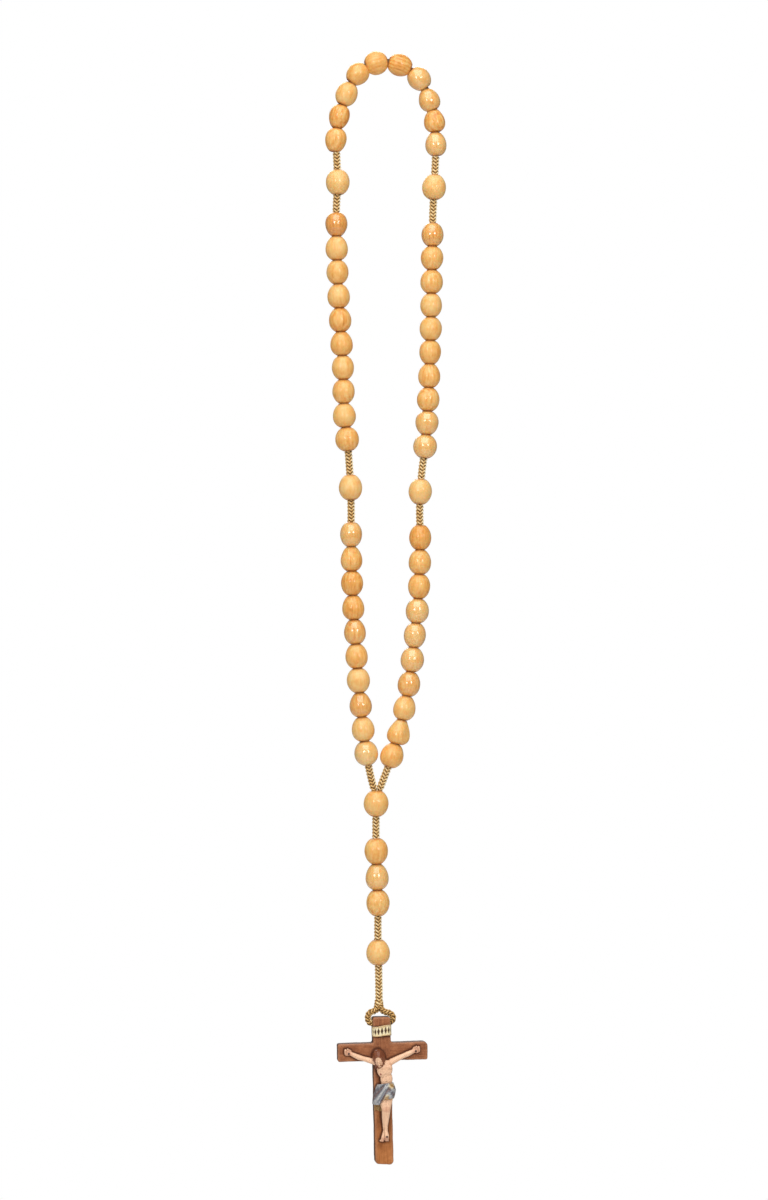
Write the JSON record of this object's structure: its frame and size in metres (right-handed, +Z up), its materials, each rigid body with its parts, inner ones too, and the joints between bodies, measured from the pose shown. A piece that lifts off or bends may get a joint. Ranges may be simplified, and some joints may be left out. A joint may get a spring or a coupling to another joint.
{
  "type": "rosary",
  "caption": "Hanging rosary of turned wooden beads strung on a cord, with a carved and painted wooden crucifix on a cord loop.",
  "frame": {"origin": "the hanging point, inside the top of the loop of beads", "axes": "+Z up along the hanging rosary, the front with the figure faces -Y, +X to the right seen from the front"},
  "size_m": [0.043, 0.0116, 0.3892],
  "materials": {
    "bead_wood": "clear satin varnish over pale honey wood",
    "cord_fibre": "twisted and braided golden beige cord",
    "cross_wood": "brown stain, worn at the edges",
    "corpus_paint": "hand-painted carved wood",
    "scroll_gilt": "cream and gold paint"
  },
  "bodies": {
    "top_decade": {"top_decade": "bead_wood"},
    "left_upper_strand": {"left_upper_cord": "cord_fibre"},
    "left_lower_strand": {"left_lower_cord": "cord_fibre"},
    "right_upper_strand": {"right_upper_cord": "cord_fibre"},
    "right_lower_strand": {"right_lower_cord": "cord_fibre"},
    "upper_tail": {"tail_upper_cord": "cord_fibre"},
    "lower_tail": {"tail_lower_cord": "cord_fibre"},
    "centre": {"centre_bead": "bead_wood"},
    "hanger": {"hanging_loop": "cord_fibre"},
    "crucifix": {"cross": "cross_wood", "corpus": "corpus_paint", "title_scroll": "scroll_gilt"},
    "left_large_bead_1": {"left_large_bead_1": "bead_wood"},
    "left_bead_01": {"left_bead_01": "bead_wood"},
    "left_bead_02": {"left_bead_02": "bead_wood"},
    "left_bead_03": {"left_bead_03": "bead_wood"},
    "left_bead_04": {"left_bead_04": "bead_wood"},
    "left_bead_05": {"left_bead_05": "bead_wood"},
    "left_bead_06": {"left_bead_06": "bead_wood"},
    "left_bead_07": {"left_bead_07": "bead_wood"},
    "left_bead_08": {"left_bead_08": "bead_wood"},
    "left_bead_09": {"left_bead_09": "bead_wood"},
    "left_bead_10": {"left_bead_10": "bead_wood"},
    "left_large_bead_2": {"left_large_bead_2": "bead_wood"},
    "left_bead_11": {"left_bead_11": "bead_wood"},
    "left_bead_12": {"left_bead_12": "bead_wood"},
    "left_bead_13": {"left_bead_13": "bead_wood"},
    "left_bead_14": {"left_bead_14": "bead_wood"},
    "left_bead_15": {"left_bead_15": "bead_wood"},
    "left_bead_16": {"left_bead_16": "bead_wood"},
    "left_bead_17": {"left_bead_17": "bead_wood"},
    "left_bead_18": {"left_bead_18": "bead_wood"},
    "left_bead_19": {"left_bead_19": "bead_wood"},
    "left_bead_20": {"left_bead_20": "bead_wood"},
    "right_large_bead_1": {"right_large_bead_1": "bead_wood"},
    "right_bead_01": {"right_bead_01": "bead_wood"},
    "right_bead_02": {"right_bead_02": "bead_wood"},
    "right_bead_03": {"right_bead_03": "bead_wood"},
    "right_bead_04": {"right_bead_04": "bead_wood"},
    "right_bead_05": {"right_bead_05": "bead_wood"},
    "right_bead_06": {"right_bead_06": "bead_wood"},
    "right_bead_07": {"right_bead_07": "bead_wood"},
    "right_bead_08": {"right_bead_08": "bead_wood"},
    "right_bead_09": {"right_bead_09": "bead_wood"},
    "right_bead_10": {"right_bead_10": "bead_wood"},
    "right_large_bead_2": {"right_large_bead_2": "bead_wood"},
    "right_bead_11": {"right_bead_11": "bead_wood"},
    "right_bead_12": {"right_bead_12": "bead_wood"},
    "right_bead_13": {"right_bead_13": "bead_wood"},
    "right_bead_14": {"right_bead_14": "bead_wood"},
    "right_bead_15": {"right_bead_15": "bead_wood"},
    "right_bead_16": {"right_bead_16": "bead_wood"},
    "right_bead_17": {"right_bead_17": "bead_wood"},
    "right_bead_18": {"right_bead_18": "bead_wood"},
    "right_bead_19": {"right_bead_19": "bead_wood"},
    "right_bead_20": {"right_bead_20": "bead_wood"},
    "tail_bead_01": {"tail_bead_01": "bead_wood"},
    "tail_bead_02": {"tail_bead_02": "bead_wood"},
    "tail_bead_03": {"tail_bead_03": "bead_wood"},
    "tail_large_bead_1": {"tail_large_bead_1": "bead_wood"}
  },
  "joints": [
    {"name": "loop_spread", "type": "hinge", "parent": "top_decade", "child": "left_upper_strand", "pos_m": [-0.01699, 0, -0.02774], "axis": [0, 1, 0], "range_deg": [-2, 15]},
    {"name": "loop_spread_left_elbow", "type": "hinge", "parent": "left_upper_strand", "child": "left_lower_strand", "pos_m": [-0.01281, 0, -0.13215], "axis": [0, 1, 0], "range_deg": [-29.41, 4.35]},
    {"name": "loop_spread_centre", "type": "hinge", "parent": "left_lower_strand", "child": "centre", "pos_m": [-0.0041, 0, -0.2483], "axis": [0, 1, 0], "range_deg": [-2.32, 14.13]},
    {"name": "loop_spread_right", "type": "hinge", "parent": "top_decade", "child": "right_upper_strand", "pos_m": [0.01776, 0, -0.02885], "axis": [0, 1, 0], "range_deg": [-13.88, 2.28]},
    {"name": "loop_spread_right_elbow", "type": "hinge", "parent": "right_upper_strand", "child": "right_lower_strand", "pos_m": [0.0134, 0, -0.13458], "axis": [0, 1, 0], "range_deg": [-3.93, 26.24]},
    {"name": "tail_swing", "type": "hinge", "parent": "centre", "child": "upper_tail", "pos_m": [-0.00319, 0, -0.26005], "axis": [0, 1, 0], "range_deg": [-30, 30]},
    {"name": "tail_nod", "type": "hinge", "parent": "upper_tail", "child": "lower_tail", "pos_m": [-0.0025, 0, -0.29483], "axis": [1, 0, 0], "range_deg": [-40, 40]},
    {"name": "hanger_swing", "type": "hinge", "parent": "lower_tail", "child": "hanger", "pos_m": [-0.0021, 0, -0.32393], "axis": [0, 1, 0], "range_deg": [-25, 25]},
    {"name": "crucifix_swing", "type": "hinge", "parent": "hanger", "child": "crucifix", "pos_m": [-0.00145, 0, -0.3309], "axis": [1, 0, 0], "range_deg": [-60, 60]},
    {"name": "turn_left_large_bead_1", "type": "hinge", "parent": "left_upper_strand", "child": "left_large_bead_1", "pos_m": [-0.0166, 0, -0.0369], "axis": [-0.0097, 0, -1], "continuous": true},
    {"name": "turn_left_bead_01", "type": "hinge", "parent": "left_upper_strand", "child": "left_bead_01", "pos_m": [-0.0171, 0, -0.0517], "axis": [0.0114, 0, -0.9999], "continuous": true},
    {"name": "turn_left_bead_02", "type": "hinge", "parent": "left_upper_strand", "child": "left_bead_02", "pos_m": [-0.01695, 0, -0.06005], "axis": [0.0231, 0, -0.9997], "continuous": true},
    {"name": "turn_left_bead_03", "type": "hinge", "parent": "left_upper_strand", "child": "left_bead_03", "pos_m": [-0.0167, 0, -0.06839], "axis": [0.0395, 0, -0.9992], "continuous": true},
    {"name": "turn_left_bead_04", "type": "hinge", "parent": "left_upper_strand", "child": "left_bead_04", "pos_m": [-0.01628, 0, -0.07673], "axis": [0.0585, 0, -0.9983], "continuous": true},
    {"name": "turn_left_bead_05", "type": "hinge", "parent": "left_upper_strand", "child": "left_bead_05", "pos_m": [-0.01578, 0, -0.08506], "axis": [0.0596, 0, -0.9982], "continuous": true},
    {"name": "turn_left_bead_06", "type": "hinge", "parent": "left_upper_strand", "child": "left_bead_06", "pos_m": [-0.01524, 0, -0.09339], "axis": [0.0644, 0, -0.9979], "continuous": true},
    {"name": "turn_left_bead_07", "type": "hinge", "parent": "left_upper_strand", "child": "left_bead_07", "pos_m": [-0.01478, 0, -0.10172], "axis": [0.0415, 0, -0.9991], "continuous": true},
    {"name": "turn_left_bead_08", "type": "hinge", "parent": "left_upper_strand", "child": "left_bead_08", "pos_m": [-0.01455, 0, -0.11007], "axis": [0.0212, 0, -0.9998], "continuous": true},
    {"name": "turn_left_bead_09", "type": "hinge", "parent": "left_upper_strand", "child": "left_bead_09", "pos_m": [-0.01427, 0, -0.11841], "axis": [0.0653, 0, -0.9979], "continuous": true},
    {"name": "turn_left_bead_10", "type": "hinge", "parent": "left_upper_strand", "child": "left_bead_10", "pos_m": [-0.0133, 0, -0.1267], "axis": [0.1071, 0, -0.9942], "continuous": true},
    {"name": "turn_left_large_bead_2", "type": "hinge", "parent": "left_lower_strand", "child": "left_large_bead_2", "pos_m": [-0.0121, 0, -0.1436], "axis": [0.041, 0, -0.9992], "continuous": true},
    {"name": "turn_left_bead_11", "type": "hinge", "parent": "left_lower_strand", "child": "left_bead_11", "pos_m": [-0.0119, 0, -0.1601], "axis": [0.0098, 0, -1], "continuous": true},
    {"name": "turn_left_bead_12", "type": "hinge", "parent": "left_lower_strand", "child": "left_bead_12", "pos_m": [-0.0118, 0, -0.16862], "axis": [0.0154, 0, -0.9999], "continuous": true},
    {"name": "turn_left_bead_13", "type": "hinge", "parent": "left_lower_strand", "child": "left_bead_13", "pos_m": [-0.01159, 0, -0.17715], "axis": [0.0393, 0, -0.9992], "continuous": true},
    {"name": "turn_left_bead_14", "type": "hinge", "parent": "left_lower_strand", "child": "left_bead_14", "pos_m": [-0.01114, 0, -0.18566], "axis": [0.0612, 0, -0.9981], "continuous": true},
    {"name": "turn_left_bead_15", "type": "hinge", "parent": "left_lower_strand", "child": "left_bead_15", "pos_m": [-0.01059, 0, -0.19417], "axis": [0.0666, 0, -0.9978], "continuous": true},
    {"name": "turn_left_bead_16", "type": "hinge", "parent": "left_lower_strand", "child": "left_bead_16", "pos_m": [-0.01, 0, -0.20267], "axis": [0.0735, 0, -0.9973], "continuous": true},
    {"name": "turn_left_bead_17", "type": "hinge", "parent": "left_lower_strand", "child": "left_bead_17", "pos_m": [-0.00933, 0, -0.21117], "axis": [0.0838, 0, -0.9965], "continuous": true},
    {"name": "turn_left_bead_18", "type": "hinge", "parent": "left_lower_strand", "child": "left_bead_18", "pos_m": [-0.00856, 0, -0.21966], "axis": [0.0943, 0, -0.9955], "continuous": true},
    {"name": "turn_left_bead_19", "type": "hinge", "parent": "left_lower_strand", "child": "left_bead_19", "pos_m": [-0.00772, 0, -0.22815], "axis": [0.107, 0, -0.9943], "continuous": true},
    {"name": "turn_left_bead_20", "type": "hinge", "parent": "left_lower_strand", "child": "left_bead_20", "pos_m": [-0.0066, 0, -0.2366], "axis": [0.1578, 0, -0.9875], "continuous": true},
    {"name": "turn_right_large_bead_1", "type": "hinge", "parent": "right_upper_strand", "child": "right_large_bead_1", "pos_m": [0.0173, 0, -0.0383], "axis": [-0.0518, 0, -0.9987], "continuous": true},
    {"name": "turn_right_bead_01", "type": "hinge", "parent": "right_upper_strand", "child": "right_bead_01", "pos_m": [0.0167, 0, -0.055], "axis": [-0.0196, 0, -0.9998], "continuous": true},
    {"name": "turn_right_bead_02", "type": "hinge", "parent": "right_upper_strand", "child": "right_bead_02", "pos_m": [0.01655, 0, -0.06325], "axis": [-0.0179, 0, -0.9998], "continuous": true},
    {"name": "turn_right_bead_03", "type": "hinge", "parent": "right_upper_strand", "child": "right_bead_03", "pos_m": [0.0164, 0, -0.0715], "axis": [-0.018, 0, -0.9998], "continuous": true},
    {"name": "turn_right_bead_04", "type": "hinge", "parent": "right_upper_strand", "child": "right_bead_04", "pos_m": [0.01626, 0, -0.07975], "axis": [-0.0171, 0, -0.9999], "continuous": true},
    {"name": "turn_right_bead_05", "type": "hinge", "parent": "right_upper_strand", "child": "right_bead_05", "pos_m": [0.01609, 0, -0.088], "axis": [-0.0243, 0, -0.9997], "continuous": true},
    {"name": "turn_right_bead_06", "type": "hinge", "parent": "right_upper_strand", "child": "right_bead_06", "pos_m": [0.01587, 0, -0.09625], "axis": [-0.0301, 0, -0.9995], "continuous": true},
    {"name": "turn_right_bead_07", "type": "hinge", "parent": "right_upper_strand", "child": "right_bead_07", "pos_m": [0.01558, 0, -0.1045], "axis": [-0.04, 0, -0.9992], "continuous": true},
    {"name": "turn_right_bead_08", "type": "hinge", "parent": "right_upper_strand", "child": "right_bead_08", "pos_m": [0.01522, 0, -0.11274], "axis": [-0.0484, 0, -0.9988], "continuous": true},
    {"name": "turn_right_bead_09", "type": "hinge", "parent": "right_upper_strand", "child": "right_bead_09", "pos_m": [0.01478, 0, -0.12098], "axis": [-0.0609, 0, -0.9981], "continuous": true},
    {"name": "turn_right_bead_10", "type": "hinge", "parent": "right_upper_strand", "child": "right_bead_10", "pos_m": [0.0141, 0, -0.1292], "axis": [-0.1079, 0, -0.9942], "continuous": true},
    {"name": "turn_right_large_bead_2", "type": "hinge", "parent": "right_lower_strand", "child": "right_large_bead_2", "pos_m": [0.0124, 0, -0.145], "axis": [-0.0566, 0, -0.9984], "continuous": true},
    {"name": "turn_right_bead_11", "type": "hinge", "parent": "right_lower_strand", "child": "right_bead_11", "pos_m": [0.0124, 0, -0.1611], "axis": [-0.0039, 0, -1], "continuous": true},
    {"name": "turn_right_bead_12", "type": "hinge", "parent": "right_lower_strand", "child": "right_bead_12", "pos_m": [0.01229, 0, -0.16968], "axis": [-0.0211, 0, -0.9998], "continuous": true},
    {"name": "turn_right_bead_13", "type": "hinge", "parent": "right_lower_strand", "child": "right_bead_13", "pos_m": [0.01198, 0, -0.17825], "axis": [-0.0567, 0, -0.9984], "continuous": true},
    {"name": "turn_right_bead_14", "type": "hinge", "parent": "right_lower_strand", "child": "right_bead_14", "pos_m": [0.01134, 0, -0.18681], "axis": [-0.0888, 0, -0.9961], "continuous": true},
    {"name": "turn_right_bead_15", "type": "hinge", "parent": "right_lower_strand", "child": "right_bead_15", "pos_m": [0.01051, 0, -0.19535], "axis": [-0.1024, 0, -0.9947], "continuous": true},
    {"name": "turn_right_bead_16", "type": "hinge", "parent": "right_lower_strand", "child": "right_bead_16", "pos_m": [0.0096, 0, -0.20389], "axis": [-0.1142, 0, -0.9935], "continuous": true},
    {"name": "turn_right_bead_17", "type": "hinge", "parent": "right_lower_strand", "child": "right_bead_17", "pos_m": [0.00845, 0, -0.21239], "axis": [-0.1595, 0, -0.9872], "continuous": true},
    {"name": "turn_right_bead_18", "type": "hinge", "parent": "right_lower_strand", "child": "right_bead_18", "pos_m": [0.00686, 0, -0.22082], "axis": [-0.204, 0, -0.979], "continuous": true},
    {"name": "turn_right_bead_19", "type": "hinge", "parent": "right_lower_strand", "child": "right_bead_19", "pos_m": [0.005, 0, -0.2292], "axis": [-0.2326, 0, -0.9726], "continuous": true},
    {"name": "turn_right_bead_20", "type": "hinge", "parent": "right_lower_strand", "child": "right_bead_20", "pos_m": [0.0025, 0, -0.2374], "axis": [-0.3246, 0, -0.9459], "continuous": true},
    {"name": "turn_tail_bead_01", "type": "hinge", "parent": "upper_tail", "child": "tail_bead_01", "pos_m": [-0.0031, 0, -0.2709], "axis": [0.0239, 0, -0.9997], "continuous": true},
    {"name": "turn_tail_bead_02", "type": "hinge", "parent": "upper_tail", "child": "tail_bead_02", "pos_m": [-0.0028, 0, -0.27995], "axis": [0.0349, 0, -0.9994], "continuous": true},
    {"name": "turn_tail_bead_03", "type": "hinge", "parent": "upper_tail", "child": "tail_bead_03", "pos_m": [-0.0025, 0, -0.289], "axis": [0.0164, 0, -0.9999], "continuous": true},
    {"name": "turn_tail_large_bead_1", "type": "hinge", "parent": "lower_tail", "child": "tail_large_bead_1", "pos_m": [-0.0024, 0, -0.3063], "axis": [0.0179, 0, -0.9998], "continuous": true}
  ],
  "couplings": [
    {"joint": "loop_spread_left_elbow", "follows": "loop_spread", "ratio": -1.927},
    {"joint": "loop_spread_centre", "follows": "loop_spread", "ratio": 0.909},
    {"joint": "loop_spread_right", "follows": "loop_spread", "ratio": -0.892},
    {"joint": "loop_spread_right_elbow", "follows": "loop_spread", "ratio": 1.716}
  ]
}
